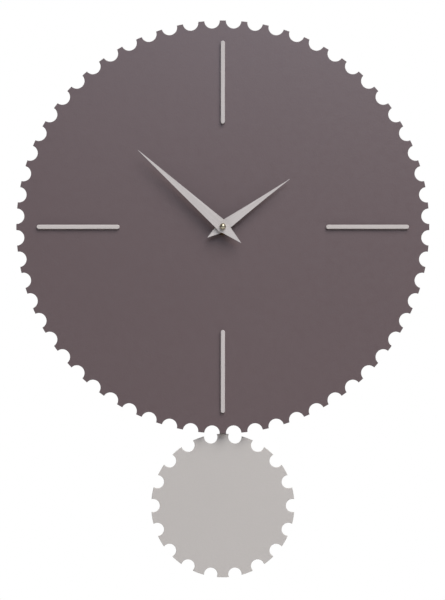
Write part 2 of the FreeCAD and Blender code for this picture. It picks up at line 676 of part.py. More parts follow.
def meshed_gear(name, mesh, is_wheel, depths, axis):
    teeth, mate_teeth = (mesh[0], mesh[1]) if is_wheel else (mesh[1], mesh[0])
    return gear(teeth, mesh[2], mate_teeth, depths, axis, TOOTH_ANGLES[name])


def pinion_depths(wheel_depths):
    return (wheel_depths[0] - 0.2, wheel_depths[1] + 0.2)


def arbor(radius, shoulders, pivots, axis):
    """A round bar between two shoulders, with a thin pivot at each end."""
    return fused([cylinder(radius, shoulders, axis), cylinder(PIVOT_RADIUS, pivots, axis)])


def crossings(radius, depths, axis, hub_radius, holes=5):
    """Round lightening holes in a wheel's web."""
    hole_radius = (radius - hub_radius) * 0.3
    place = (radius + hub_radius) / 2
    return [cylinder(hole_radius, depths, polar(place, 360.0 * k / holes, axis)) for k in range(holes)]


def rotor_magnet():
    return tube(2.8, ROTOR_ARBOR_RADIUS, ROTOR_MAGNET, ROTOR_AXIS)


def rotor_pinion():
    leaves = meshed_gear("rotor_pinion", STEP_TO_ROTOR, False, pinion_depths(STEP_GEAR), ROTOR_AXIS)
    bar = arbor(ROTOR_ARBOR_RADIUS, (BRIDGE[1] + 0.1, MIDDLE_PLATE[0] - 0.2),
                (BRIDGE[0] + 0.1, MIDDLE_PLATE[1] - 0.1), ROTOR_AXIS)
    return fused([leaves, bar])


def step_wheel():
    teeth = meshed_gear("step", STEP_TO_ROTOR, True, STEP_GEAR, STEP_AXIS)
    teeth = teeth.cut(crossings(5.8, STEP_GEAR, STEP_AXIS, 1.2))
    leaves = meshed_gear("step_pinion", SECONDS_TO_STEP, False, pinion_depths(SECONDS_GEAR), STEP_AXIS)
    bar = arbor(WHEEL_ARBOR_RADIUS, (BRIDGE[1] + 0.2, MIDDLE_PLATE[0] - 0.2),
                (BRIDGE[0] + 0.1, MIDDLE_PLATE[1] - 0.1), STEP_AXIS)
    return fused([teeth, leaves, bar])


def seconds_wheel():
    teeth = meshed_gear("seconds", SECONDS_TO_STEP, True, SECONDS_GEAR, ARBOR)
    teeth = teeth.cut(crossings(6.0, SECONDS_GEAR, ARBOR, 1.4))
    leaves = meshed_gear("seconds_pinion", THIRD_TO_SECONDS, False, pinion_depths(THIRD_GEAR), ARBOR)
    bar = arbor(WHEEL_ARBOR_RADIUS, (BRIDGE[1] + 0.2, MIDDLE_PLATE[0] - 0.2),
                (BRIDGE[0] + 0.1, CENTRE_GEAR[0] + 0.1), ARBOR)
    return fused([teeth, leaves, bar])


def third_wheel():
    teeth = meshed_gear("third", THIRD_TO_SECONDS, True, THIRD_GEAR, THIRD_AXIS)
    teeth = teeth.cut(crossings(8.2, THIRD_GEAR, THIRD_AXIS, 1.6))
    leaves = meshed_gear("third_pinion", CENTRE_TO_THIRD, False, pinion_depths(CENTRE_GEAR), THIRD_AXIS)
    bar = arbor(WHEEL_ARBOR_RADIUS, (BRIDGE[1] + 0.2, FRONT_PLATE[0] - 0.2),
                (BRIDGE[0] + 0.1, PIVOT_END - 0.1), THIRD_AXIS)
    return fused([teeth, leaves, bar])


def centre_wheel():
    """Turns once an hour: wheel, cannon pinion and the long arbor that carries the minute hand."""
    teeth = meshed_gear("centre", CENTRE_TO_THIRD, True, CENTRE_GEAR, ARBOR)
    leaves = meshed_gear("cannon", MINUTE_TO_CANNON, False, (CENTRE_GEAR[1], MINUTE_GEAR[1] + 0.2), ARBOR)
    bar = cylinder(CENTRE_ARBOR_RADIUS, (CENTRE_GEAR[0], MINUTE_HAND_DEPTH[0]))
    thread = cylinder(THREAD_RADIUS, (MINUTE_HAND_DEPTH[1], THREAD_END))
    bearing = cylinder(CENTRE_BOSS_RADIUS + RUNNING, (CENTRE_GEAR[0], CENTRE_BOSS_END + 0.2))
    return fused([teeth, leaves, bar, minute_hand_seat(), thread]).cut(bearing)


def minute_wheel():
    teeth = meshed_gear("minute", MINUTE_TO_CANNON, True, MINUTE_GEAR, MINUTE_AXIS)
    pipe_depths = (MINUTE_GEAR[1], HOUR_GEAR[1] + 0.2)
    leaves = meshed_gear("minute_pinion", HOUR_TO_MINUTE, False, pipe_depths, MINUTE_AXIS)
    bore = cylinder(STUD_RADIUS + RUNNING, (MINUTE_GEAR[0], pipe_depths[1]), MINUTE_AXIS)
    return fused([teeth, leaves]).cut(bore)


def hour_wheel():
    """Turns once in twelve hours: wheel and the tube that carries the hour hand."""
    teeth = meshed_gear("hour", HOUR_TO_MINUTE, True, HOUR_GEAR, ARBOR)
    pipe = cylinder(HOUR_TUBE_RADIUS, (HOUR_GEAR[1], HOUR_HAND_DEPTH[1]))
    return fused([teeth, pipe]).cut(cylinder(HOUR_TUBE_BORE, (HOUR_GEAR[0], HOUR_HAND_DEPTH[1])))


def setting_knob():
    """Turned by hand from the back; its pinion drives the minute wheel and so both hands."""
    head = cylinder(KNOB_RADIUS, KNOB_DEPTH, KNOB_AXIS)
    flutes = [cylinder(0.9, KNOB_DEPTH, polar(KNOB_RADIUS + 0.4, 22.5 * k, KNOB_AXIS)) for k in range(16)]
    finger_dish = cone(4.6, 4.2, (KNOB_DEPTH[0], KNOB_DEPTH[0] + 0.5), KNOB_AXIS)
    shaft = cylinder(KNOB_SHAFT_RADIUS, (KNOB_DEPTH[1], MINUTE_GEAR[0]), KNOB_AXIS)
    pinion = (MINUTE_GEAR[0] - 0.2, MINUTE_GEAR[1] + 0.2)
    leaves = meshed_gear("knob", MINUTE_TO_CANNON, False, pinion, KNOB_AXIS)
    pivot = cylinder(STUD_RADIUS, (pinion[1], PIVOT_END - 0.1), KNOB_AXIS)
    return fused([head.cut(flutes + [finger_dish]), shaft, leaves, pivot])


# ---------------------------------------------------------------- stepping motor


def motor_stator():
    half = [(11.2, 5.5), (14.0, 9.0), (17.0, 18.0), (26.0, 18.0), (26.0, 13.4), (19.9, 13.4)]
    outline = half + [(x, -z) for x, z in reversed(half)]
    return extruded(polygon(outline), STATOR).cut([
        cylinder(3.3, STATOR, ROTOR_AXIS),
        cylinder(SCREW_RADIUS, STATOR, MOTOR_SCREWS[0]),
        cylinder(SCREW_RADIUS, STATOR, MOTOR_SCREWS[1]),
    ])


def motor_core():
    bar = box((COIL_AXIS_X - 1.6, COIL_AXIS_X + 1.6), CORE, (-18.0, 18.0))
    return bar.cut([cylinder(SCREW_RADIUS, CORE, place) for place in MOTOR_SCREWS])


MOTOR_COIL_HALF_LENGTH = 11.5
COIL_MIDDLE = (CORE[0] + CORE[1]) / 2


def round_the_core(half_width, half_depth, z, radius):
    """A rounded block centred on the motor's core."""
    solid = box((COIL_AXIS_X - half_width, COIL_AXIS_X + half_width),
                (COIL_MIDDLE - half_depth, COIL_MIDDLE + half_depth), z)
    corners = [e for e in solid.Edges if abs(e.tangentAt(e.FirstParameter).z) > 0.99]
    return solid.makeFillet(radius, corners)


def motor_bobbin():
    end = MOTOR_COIL_HALF_LENGTH + 0.8
    barrel = round_the_core(2.0, 0.9, (-end, end), 0.3)
    flange_top = round_the_core(3.2, 3.1, (MOTOR_COIL_HALF_LENGTH, end), 1.0)
    flange_bottom = round_the_core(3.2, 3.1, (-end, -MOTOR_COIL_HALF_LENGTH), 1.0)
    bore = box((COIL_AXIS_X - 1.6, COIL_AXIS_X + 1.6), CORE, (-end, end))
    return fused([barrel, flange_top, flange_bottom]).cut(bore)


def motor_coil():
    span = (-MOTOR_COIL_HALF_LENGTH, MOTOR_COIL_HALF_LENGTH)
    return round_the_core(2.8, 2.7, span, 1.2).cut(round_the_core(2.0, 0.9, span, 0.3))


# ---------------------------------------------------------------- electronics


def circuit_board():
    plate = rounded_box((-27.8, -19.4), BOARD, (-6.0, 25.5), 0.6)
    return plate.cut([cylinder(0.8, BOARD, place) for place in BOARD_PEGS])


CHIP_PLACE = (-23.8, 4.2)
CHIP_RADIUS = 3.2


def clock_chip():
    """A blob of resin over the bare chip."""
    height = 1.1
    sphere_radius = (CHIP_RADIUS**2 + height**2) / (2 * height)
    middle = BOARD[0] - height + sphere_radius
    ball = Part.makeSphere(sphere_radius, point(CHIP_PLACE[0], middle, CHIP_PLACE[1]))
    return ball.common(cylinder(CHIP_RADIUS + 1, (BOARD[0] - height - 1, BOARD[0]), CHIP_PLACE))


def quartz_crystal():
    """A small can lying on the board, with its two leads bent down into it."""
    radius = 1.5
    can = Part.makeCylinder(radius, 8.0, point(-22.0, BOARD[0] - radius, 10.5), Vec(0, 0, 1))
    can = can.makeFillet(0.3, [e for e in can.Edges if abs(e.Length - 2 * math.pi * radius) < 0.01])
    leads = []
    for x in (-22.65, -21.65):
        leads.append(box((x, x + 0.3), (BOARD[0] - 1.0, BOARD[0] - 0.7), (9.0, 11.0)))
        leads.append(box((x, x + 0.3), (BOARD[0] - 1.0, BOARD[0]), (9.0, 9.3)))
    return fused([can] + leads)


def driver_board():
    plate = rounded_box((16.0, 27.4), BOARD, (-73.0, -50.0), 0.6)
    return plate.cut([cylinder(0.8, BOARD, place) for place in DRIVER_PEGS])


def driver_chip():
    body = box((20.6, 24.6), (BOARD[0] - 1.5, BOARD[0]), (-63.5, -58.5))
    legs = []
    for side in (19.6, 24.6):
        for k in range(4):
            z = -62.95 + 1.27 * k
            legs.append(box((side, side + 1.0), (BOARD[0] - 0.3, BOARD[0]), (z - 0.2, z + 0.2)))
    return fused([body] + legs)


def driver_capacitor():
    can = cylinder(2.0, (BOARD[0] - 3.6, BOARD[0] - 0.4), (24.2, -68.5))
    foot = box((22.2, 26.2), (BOARD[0] - 0.4, BOARD[0]), (-70.5, -66.5))
    return fused([can, foot])


# ---------------------------------------------------------------- battery and contacts


def along_x(radius, x):
    start = point(x[0], BATTERY_DEPTH, BATTERY_Z)
    return Part.makeCylinder(radius, x[1] - x[0], start, Vec(1, 0, 0))


def battery():
    """A standard AA cell."""
    shoulder = BATTERY_ENDS[1] - 1.0
    can = along_x(BATTERY_RADIUS, (BATTERY_ENDS[0], shoulder))
    can = can.makeFillet(0.6, [e for e in can.Edges if abs(e.Length - 2 * math.pi * BATTERY_RADIUS) < 0.01])
    return can.fuse(along_x(2.75, (shoulder, BATTERY_ENDS[1]))).removeSplitter()


CONTACT_HALF_HEIGHT = 5.0
CONTACT_DEPTH = (3.5, 13.0)


def contact_blade(x, tail_z):
    """The flat of a battery contact with the tail that runs through the bay's wall to a board."""
    height = (BATTERY_Z - CONTACT_HALF_HEIGHT, BATTERY_Z + CONTACT_HALF_HEIGHT)
    return fused([box(x, CONTACT_DEPTH, height), box(x, CONTACT_TAIL_DEPTH, tail_z)])


def contact_positive():
    face = BAY_HALF_LENGTH - CONTACT_THICKNESS
    blade = contact_blade((face, BAY_HALF_LENGTH), (-54.0, BATTERY_Z))
    start = point(face, BATTERY_DEPTH, BATTERY_Z)
    dimple = Part.makeCone(2.6, 2.0, face - BATTERY_ENDS[1], start, Vec(-1, 0, 0))
    return fused([blade, dimple])


def contact_negative():
    """Blade and conical spring in one."""
    face = CONTACT_THICKNESS - BAY_HALF_LENGTH
    blade = contact_blade((-BAY_HALF_LENGTH, face), (BATTERY_Z, -3.0))
    wire = 0.35
    height = BATTERY_ENDS[0] - face - wire
    helix = Part.makeHelix(height / 2.5, height, 4.6, 20.0)
    start = Part.Wire(Part.makeCircle(wire, Vec(4.6, 0, 0), Vec(0, 1, 0)))
    spring = Part.Wire(helix.Edges).makePipeShell([start], True, True)
    spring.rotate(Vec(0, 0, 0), Vec(0, 1, 0), 90.0)
    spring.translate(point(face, BATTERY_DEPTH, BATTERY_Z))
    return fused([blade, spring])


# ---------------------------------------------------------------- pendulum drive


def drive_bobbin():
    depths = DRIVE_COIL_DEPTH
    centre = (0, PENDULUM_MAGNET_Z)
    spool = fused([
        cylinder(2.4, depths, centre),
        cylinder(6.4, (depths[0], depths[0] + 0.6), centre),
        cylinder(6.4, (depths[1] - 0.6, depths[1]), centre),
    ])
    return spool.cut(cylinder(1.5, depths, centre))


def drive_coil():
    depths = (DRIVE_COIL_DEPTH[0] + 0.6, DRIVE_COIL_DEPTH[1] - 0.6)
    return tube(5.9, 2.4, depths, (0, PENDULUM_MAGNET_Z))


def pendulum_pivot_pin():
    return cylinder(PIN_RADIUS, (COVER[1], PIVOT_END), (0, PENDULUM_PIVOT_Z))


PENDULUM_MAGNET_RADIUS = 3.5
PENDULUM_MAGNET_DEPTH = (LEVER_DEPTH[0] - 0.8, LEVER_DEPTH[1])
HOOK_RADIUS = 1.2


def pendulum_lever():
    """Swings on the pin, carries the magnet past the coil and ends in the hook for the rod."""
    pivot = (0, PENDULUM_PIVOT_Z)
    magnet = (0, PENDULUM_MAGNET_Z)
    hook = (0, HOOK_Z)
    arm = box((-2.0, 2.0), LEVER_DEPTH, (PENDULUM_MAGNET_Z, PENDULUM_PIVOT_Z))
    leg = box((-2.5, 2.5), LEVER_DEPTH, (HOOK_Z, PENDULUM_MAGNET_Z))
    catch = (ROD_DEPTH[1] + 0.3, ROD_DEPTH[1] + 1.0)
    body = fused([
        arm, leg,
        cylinder(3.0, LEVER_HUB_DEPTH, pivot),
        cylinder(5.2, LEVER_DEPTH, magnet),
        cylinder(2.5, LEVER_DEPTH, hook),
        cylinder(2.2, (LEVER_DEPTH[1], ROD_DEPTH[0]), hook),
        cylinder(HOOK_RADIUS, (ROD_DEPTH[0], catch[1]), hook),
        box((-HOOK_RADIUS, HOOK_RADIUS), catch, (HOOK_Z, HOOK_Z + 2.0)),
    ])
    return body.cut([
        cylinder(PIN_RADIUS + RUNNING, LEVER_HUB_DEPTH, pivot),
        cylinder(PENDULUM_MAGNET_RADIUS, LEVER_DEPTH, magnet),
    ])


def pendulum_magnet():
    return cylinder(PENDULUM_MAGNET_RADIUS, PENDULUM_MAGNET_DEPTH, (0, PENDULUM_MAGNET_Z))


def pendulum_rod():
    """A flat strip with a square eye at the top, glued to the back of the disc."""
    half = ROD_WIDTH / 2
    end = -BOB_DROP - ROD_END_BELOW_BOB_CENTRE
    strip = rounded_box((-half, half), ROD_DEPTH, (end, ROD_TOP), 1.0)
    eye = (HOOK_Z - HOOK_RADIUS - 1.2, HOOK_Z + HOOK_RADIUS)
    return strip.cut(box((-HOOK_RADIUS - 0.1, HOOK_RADIUS + 0.1), ROD_DEPTH, eye))


def pendulum_bob():
    return scalloped_disc(
        (0, -BOB_DROP), BOB_RADIUS, BOB_TEETH, BOB_NOTCH_RADIUS, BOB_NOTCH_PITCH_RADIUS, BOB_DEPTH
    )


# ---------------------------------------------------------------- all the pieces

PIECES = {
    "dial_disc": dial_disc,
    "hour_marker_12": lambda: hour_marker(0),
    "hour_marker_3": lambda: hour_marker(90),
    "hour_marker_6": lambda: hour_marker(180),
    "hour_marker_9": lambda: hour_marker(270),
    "minute_hand": minute_hand,
    "hour_hand": hour_hand,
    "hour_hand_collet": hour_hand_collet,
    "minute_hand_collet": minute_hand_collet,
    "hand_cap_nut": hand_cap_nut,
    "fixing_washer": fixing_washer,
    "fixing_nut": fixing_nut,
    "threaded_bushing": threaded_bushing,
    "rubber_washer": rubber_washer,
    "hanger_plate": hanger_plate,
    "case_front": case_front,
    "case_back": case_back,
    "middle_plate": middle_plate,
    "bridge": bridge,
    "bridge_screws": bridge_screws,
    "motor_screws": motor_screws,
    "rotor_magnet": rotor_magnet,
    "rotor_pinion": rotor_pinion,
    "step_wheel": step_wheel,
    "seconds_wheel": seconds_wheel,
    "third_wheel": third_wheel,
    "centre_wheel": centre_wheel,
    "minute_wheel": minute_wheel,
    "hour_wheel": hour_wheel,
    "setting_knob": setting_knob,
    "motor_stator": motor_stator,
    "motor_core": motor_core,
    "motor_bobbin": motor_bobbin,
    "motor_coil": motor_coil,
    "circuit_board": circuit_board,
    "clock_chip": clock_chip,
    "quartz_crystal": quartz_crystal,
    "driver_board": driver_board,
    "driver_chip": driver_chip,
    "driver_capacitor": driver_capacitor,
    "battery": battery,
    "contact_positive": contact_positive,
    "contact_negative": contact_negative,
    "drive_bobbin": drive_bobbin,
    "drive_coil": drive_coil,
    "pendulum_pivot_pin": pendulum_pivot_pin,
    "pendulum_lever": pendulum_lever,
    "pendulum_magnet": pendulum_magnet,
    "pendulum_rod": pendulum_rod,
    "pendulum_bob": pendulum_bob,
}

os.makedirs("parts", exist_ok=True)
for node, make in PIECES.items():
    make().exportStep(f"parts/{node}.step")
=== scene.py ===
import math

import bmesh
import bpy
from mathutils import Matrix, Vector


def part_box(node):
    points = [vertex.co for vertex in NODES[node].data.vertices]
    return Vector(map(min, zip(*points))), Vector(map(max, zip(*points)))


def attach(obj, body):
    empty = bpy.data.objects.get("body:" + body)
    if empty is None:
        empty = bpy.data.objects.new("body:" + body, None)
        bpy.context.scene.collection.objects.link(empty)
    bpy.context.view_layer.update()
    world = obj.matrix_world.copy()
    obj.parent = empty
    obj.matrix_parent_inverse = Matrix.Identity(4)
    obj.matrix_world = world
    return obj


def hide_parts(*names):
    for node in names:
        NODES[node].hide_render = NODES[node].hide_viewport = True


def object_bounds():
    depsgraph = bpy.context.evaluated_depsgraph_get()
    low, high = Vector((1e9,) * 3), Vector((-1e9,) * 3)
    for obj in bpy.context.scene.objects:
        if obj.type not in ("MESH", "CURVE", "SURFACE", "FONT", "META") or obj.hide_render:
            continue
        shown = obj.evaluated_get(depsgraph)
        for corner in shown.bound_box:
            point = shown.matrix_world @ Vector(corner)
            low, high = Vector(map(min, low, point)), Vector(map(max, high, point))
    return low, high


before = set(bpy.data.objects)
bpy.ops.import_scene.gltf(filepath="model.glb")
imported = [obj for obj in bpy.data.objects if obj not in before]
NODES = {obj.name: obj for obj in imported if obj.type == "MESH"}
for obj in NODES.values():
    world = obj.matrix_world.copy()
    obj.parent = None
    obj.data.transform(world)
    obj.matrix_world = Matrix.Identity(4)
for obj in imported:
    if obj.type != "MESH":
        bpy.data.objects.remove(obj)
CAD_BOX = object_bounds()


# ---------------------------------------------------------------- places taken from the frame

def middle(node):
    low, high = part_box(node)
    return tuple((a + b) / 2 for a, b in zip(low, high))


ARBOR_Z = middle("dial_disc")[2]
DIAL_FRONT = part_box("dial_disc")[0][1]

# ---------------------------------------------------------------- camera

DISTANCE = 1.56              # from the lens to the dial's face
FRAME_HEIGHT = 0.55185       # what the frame spans at the dial's face
SENSOR = 36.0                # millimetres
ASIDE = -0.0003              # the lens beside the clock's middle line
BELOW_ARBOR = 0.0672         # the lens below the hand arbor

camera_data = bpy.data.cameras.new("Camera")
camera_data.sensor_width = SENSOR
camera_data.lens = SENSOR * DISTANCE / FRAME_HEIGHT
camera_data.clip_start = 0.01
camera = bpy.data.objects.new("Camera", camera_data)
camera.location = (ASIDE, DIAL_FRONT - DISTANCE, ARBOR_Z - BELOW_ARBOR)
camera.rotation_euler = (math.radians(90), 0, 0)
bpy.context.collection.objects.link(camera)
bpy.context.scene.camera = camera
bpy.context.scene.view_settings.view_transform = "Standard"


# ---------------------------------------------------------------- studio

WHITE = (1, 1, 1, 1)
ROOM_LIGHT = 0.13            # strength of the light from all around


def studio_world():
    """White where the camera sees it, and a dimmer white room for everything else."""
    world = bpy.data.worlds.new("Studio")
    bpy.context.scene.world = world
    world.use_nodes = True
    tree = world.node_tree
    tree.nodes.clear()
    seen = tree.nodes.new("ShaderNodeBackground")
    seen.inputs["Color"].default_value = WHITE
    seen.inputs["Strength"].default_value = 1.0
    room = tree.nodes.new("ShaderNodeBackground")
    room.inputs["Color"].default_value = WHITE
    room.inputs["Strength"].default_value = ROOM_LIGHT
    path = tree.nodes.new("ShaderNodeLightPath")
    mix = tree.nodes.new("ShaderNodeMixShader")
    out = tree.nodes.new("ShaderNodeOutputWorld")
    tree.links.new(path.outputs["Is Camera Ray"], mix.inputs[0])
    tree.links.new(room.outputs[0], mix.inputs[1])
    tree.links.new(seen.outputs[0], mix.inputs[2])
    tree.links.new(mix.outputs[0], out.inputs["Surface"])


def softbox(name, place, target, size, energy, colour=(1, 1, 1)):
    light = bpy.data.lights.new(name, "AREA")
    light.shape = "RECTANGLE"
    light.size, light.size_y = size
    light.energy = energy
    light.color = colour
    obj = bpy.data.objects.new(name, light)
    obj.location = place
    obj.rotation_euler = (Vector(target) - Vector(place)).to_track_quat("-Z", "Y").to_euler()
    bpy.context.collection.objects.link(obj)


DIAL_CENTRE = (0, DIAL_FRONT, ARBOR_Z)
UPPER_DIAL = (0, DIAL_FRONT, ARBOR_Z + 0.15)
LOWER_BACK = (0, 0, ARBOR_Z - 0.1)

studio_world()
softbox("Key", (0.72, -1.75, 1.8), DIAL_CENTRE, (1.9, 1.9), 92, (0.985, 0.99, 1.0))
softbox("Sheen", (0.1, -2.0, 0.8), UPPER_DIAL, (1.4, 0.4), 6.0, (0.5, 0.72, 1.0))
softbox("Behind", (-0.9, 1.7, 0.9), DIAL_CENTRE, (1.6, 1.6), 40)
softbox("Behind low", (1.2, 1.5, 0.2), LOWER_BACK, (1.0, 1.0), 14)


# ---------------------------------------------------------------- material helpers

def srgb(code):
    """A web colour as linear RGBA."""
    values = [int(code[i:i + 2], 16) / 255 for i in (1, 3, 5)]
    return tuple(v / 12.92 if v <= 0.04045 else ((v + 0.055) / 1.055) ** 2.4 for v in values) + (1.0,)


NOISE_LOW, NOISE_HIGH = 0.3, 0.7     # the part of a noise's range that the ramps use


class Maker:
    """One procedural material, built from named steps that all read the piece's own coordinates."""

    def __init__(self, name, colour, roughness=0.5, metallic=0.0):
        self.material = bpy.data.materials.new(name)
        self.material.use_nodes = True
        self.tree = self.material.node_tree
        self.shader = self.tree.nodes["Principled BSDF"]
        self.shader.inputs["Base Color"].default_value = srgb(colour)
        self.shader.inputs["Roughness"].default_value = roughness
        self.shader.inputs["Metallic"].default_value = metallic
        self.coords = self.tree.nodes.new("ShaderNodeTexCoord").outputs["Object"]
        self.colour = None
        self.base = srgb(colour)
        self.normal = None

    def node(self, kind, **settings):
        made = self.tree.nodes.new(kind)
        for key, value in settings.items():
            setattr(made, key, value)
        return made

    def link(self, source, target):
        self.tree.links.new(source, target)

    def stretched(self, scale, turn=0.0, about=(0, 0, 0)):
        """The coordinates turned about the clock's axis direction (Y) and scaled per axis."""
        shift = self.node("ShaderNodeMapping", vector_type="POINT")
        shift.inputs["Location"].default_value = tuple(-a for a in about)
        self.link(self.coords, shift.inputs["Vector"])
        spin = self.node("ShaderNodeMapping", vector_type="POINT")
        spin.inputs["Rotation"].default_value = (0, turn, 0)
        self.link(shift.outputs[0], spin.inputs["Vector"])
        size = self.node("ShaderNodeMapping", vector_type="POINT")
        size.inputs["Scale"].default_value = scale
        self.link(spin.outputs[0], size.inputs["Vector"])
        return size.outputs[0]

    def noise(self, vector, scale, detail=3.0, rough=0.5):
        made = self.node("ShaderNodeTexNoise")
        made.inputs["Scale"].default_value = scale
        made.inputs["Detail"].default_value = detail
        made.inputs["Roughness"].default_value = rough
        self.link(vector, made.inputs["Vector"])
        return made.outputs["Fac"]

    def ramp(self, value, low, high):
        """Maps NOISE_LOW to NOISE_HIGH onto the two numbers."""
        made = self.node("ShaderNodeMapRange")
        made.inputs["From Min"].default_value = NOISE_LOW
        made.inputs["From Max"].default_value = NOISE_HIGH
        made.inputs["To Min"].default_value = low
        made.inputs["To Max"].default_value = high
        self.link(value, made.inputs["Value"])
        return made.outputs["Result"]

    def tint(self, factor, colour):
        """Mixes another colour over what is there, where the factor is high."""
        mix = self.node("ShaderNodeMix", data_type="RGBA", blend_type="MIX")
        self.link(factor, mix.inputs["Factor"])
        if self.colour is None:
            mix.inputs["A"].default_value = self.base
        else:
            self.link(self.colour, mix.inputs["A"])
        mix.inputs["B"].default_value = srgb(colour)
        self.colour = mix.outputs["Result"]
        self.link(self.colour, self.shader.inputs["Base Color"])

    def rough(self, value):
        self.link(value, self.shader.inputs["Roughness"])

    def bump(self, height, distance, strength=1.0):
        made = self.node("ShaderNodeBump")
        made.inputs["Distance"].default_value = distance
        made.inputs["Strength"].default_value = strength
        self.link(height, made.inputs["Height"])
        if self.normal is not None:
            self.link(self.normal, made.inputs["Normal"])
        self.normal = made.outputs["Normal"]
        self.link(self.normal, self.shader.inputs["Normal"])


def put(material, *names):
    for name in names:
        obj = NODES[name]
        obj.data.materials.clear()
        obj.data.materials.append(material)


def lacquer(name, colour, dark, light, roughness):
    """Sprayed matt lacquer: faint clouding, a fine light grain, an uneven gloss and a fine orange peel."""
    m = Maker(name, colour, roughness)
    cloud = m.ramp(m.noise(m.coords, 7.0, 4.0), 0.0, 0.2)
    m.tint(cloud, dark)
    grain = m.ramp(m.noise(m.coords, 900.0, 2.0), 0.0, 0.22)
    m.tint(grain, light)
    m.rough(m.ramp(m.noise(m.coords, 160.0, 3.0), roughness - 0.03, roughness + 0.04))
    m.bump(m.noise(m.coords, 650.0, 2.0), 0.00004)
    m.bump(m.noise(m.coords, 120.0, 2.0), 0.00003)
    return m


BRUSH_LINES = (1500, 1500, 22)       # noise scale across the brush lines, twice, and along them


def satin_paint(name, colour, dark, light, roughness, turn=0.0, about=(0, 0, 0)):
    """Thin light paint over metal that was brushed lengthwise, so the brush lines still show through."""
    m = Maker(name, colour, roughness)
    lines = m.stretched(BRUSH_LINES, turn, about)
    streak = m.noise(lines, 1.0, 4.0, 0.7)
    m.tint(m.ramp(streak, 0.0, 0.8), dark)
    m.tint(m.ramp(m.noise(lines, 0.45, 2.0), 0.0, 0.5), light)
    m.rough(m.ramp(m.noise(lines, 0.6, 3.0), roughness - 0.07, roughness + 0.09))
    m.bump(streak, 0.00003)
    return m


def plated(name, colour, dark, roughness):
    """Zinc or nickel plate: faint clouding, fine grain and a slightly uneven gloss."""
    m = Maker(name, colour, roughness, 1.0)
    m.tint(m.ramp(m.noise(m.coords, 60.0, 3.0), 0.0, 0.18), dark)
    m.tint(m.ramp(m.noise(m.coords, 1400.0, 2.0), 0.0, 0.35), dark)
    m.rough(m.ramp(m.noise(m.coords, 500.0, 3.0), roughness - 0.08, roughness + 0.1))
    m.bump(m.noise(m.coords, 1500.0, 2.0), 0.00001)
    return m


def turned_brass(name):
    """Brass turned on a lathe: fine rings round the arbor's direction."""
    m = Maker(name, "#c9a35a", 0.3, 1.0)
    m.tint(m.ramp(m.noise(m.coords, 300.0, 3.0), 0.0, 0.5), "#8d6a2e")
    rings = m.stretched((60, 4000, 60))
    m.rough(m.ramp(m.noise(rings, 1.0, 2.0), 0.2, 0.42))
    m.bump(m.noise(rings, 1.0, 2.0), 0.00001)
    return m


def plastic(name, colour, light, roughness, grain=1400.0, depth=0.00002):
    """Moulded plastic: faint clouding, an uneven gloss and the mould's fine grain."""
    m = Maker(name, colour, roughness)
    m.tint(m.ramp(m.noise(m.coords, 60.0, 3.0), 0.0, 0.3), light)
    m.rough(m.ramp(m.noise(m.coords, 200.0, 3.0), roughness - 0.06, roughness + 0.08))
    m.bump(m.noise(m.coords, grain, 2.0), depth)
    return m


def rubber(name):
    m = Maker(name, "#1c1b1b", 0.75)
    m.tint(m.ramp(m.noise(m.coords, 500.0, 4.0), 0.0, 0.5), "#2e2c2b")
    m.rough(m.ramp(m.noise(m.coords, 300.0, 3.0), 0.65, 0.85))
    m.bump(m.noise(m.coords, 1200.0, 2.0), 0.00003)
    return m


def ferrite(name):
    m = Maker(name, "#3a3a3c", 0.5, 0.6)
    m.tint(m.ramp(m.noise(m.coords, 2500.0, 3.0), 0.0, 0.6), "#222224")
    m.rough(m.ramp(m.noise(m.coords, 900.0, 3.0), 0.4, 0.62))
    m.bump(m.noise(m.coords, 3000.0, 3.0), 0.00002)
    return m


def circuit(name):
    """Green solder mask with a faint cellular relief."""
    m = Maker(name, "#1f5a33", 0.35)
    cells = m.node("ShaderNodeTexVoronoi", feature="DISTANCE_TO_EDGE")
    cells.inputs["Scale"].default_value = 700.0
    m.link(m.coords, cells.inputs["Vector"])
    m.tint(m.ramp(m.noise(m.coords, 400.0, 2.0), 0.0, 0.4), "#2f7544")
    m.rough(m.ramp(m.noise(m.coords, 800.0, 2.0), 0.28, 0.42))
    m.bump(cells.outputs["Distance"], 0.00001)
    return m


def enamelled_wire(name, axis_scale):
    """Enamelled copper: bands along Z, put out of line by a noise that is finest where the scale is high."""
    m = Maker(name, "#a5512c", 0.35, 0.7)
    turns = m.stretched(axis_scale)
    bands = m.node("ShaderNodeTexWave", wave_type="BANDS", bands_direction="Z")
    bands.inputs["Scale"].default_value = 1.0
    bands.inputs["Distortion"].default_value = 1.2
    m.link(turns, bands.inputs["Vector"])
    m.tint(m.ramp(bands.outputs["Fac"], 0.0, 0.6), "#6e2f16")
    m.rough(m.ramp(m.noise(m.coords, 600.0, 2.0), 0.28, 0.45))
    m.bump(bands.outputs["Fac"], 0.00003)
    return m


HAND_ANGLES = {"minute_hand": 312.0, "hour_hand": 54.6}      # degrees clockwise from 12, at rest


def paint_bars_and_hands():
    # The four bars are one paint given as lit and shaded copies: painted shade darkens the top bar most,
    # then the right-hand bar, and the bottom and left-hand bars are lighter, evening out the light that
    # falls stronger from above and the right.
    for hour, turn, colour, dark, light in (
        (12, 0, "#aba3a0", "#a19996", "#b6aeab"),
        (3, 90, "#afa6a2", "#a59c98", "#bab1ad"),
        (6, 0, "#b4aba8", "#aaa19e", "#bfb6b3"),
        (9, 90, "#b6ada9", "#aca39f", "#c1b8b4"),
    ):
        m = satin_paint(f"marker_shaded_paint_{hour}", colour, dark, light, 0.55, math.radians(turn))
        put(m.material, f"hour_marker_{hour}")
    for hand, angle in HAND_ANGLES.items():
        m = satin_paint(f"{hand}_paint", "#b3aba8", "#a59d99", "#c0b8b5", 0.45,
                        math.radians(-angle), (0, 0, ARBOR_Z))
        put(m.material, hand)


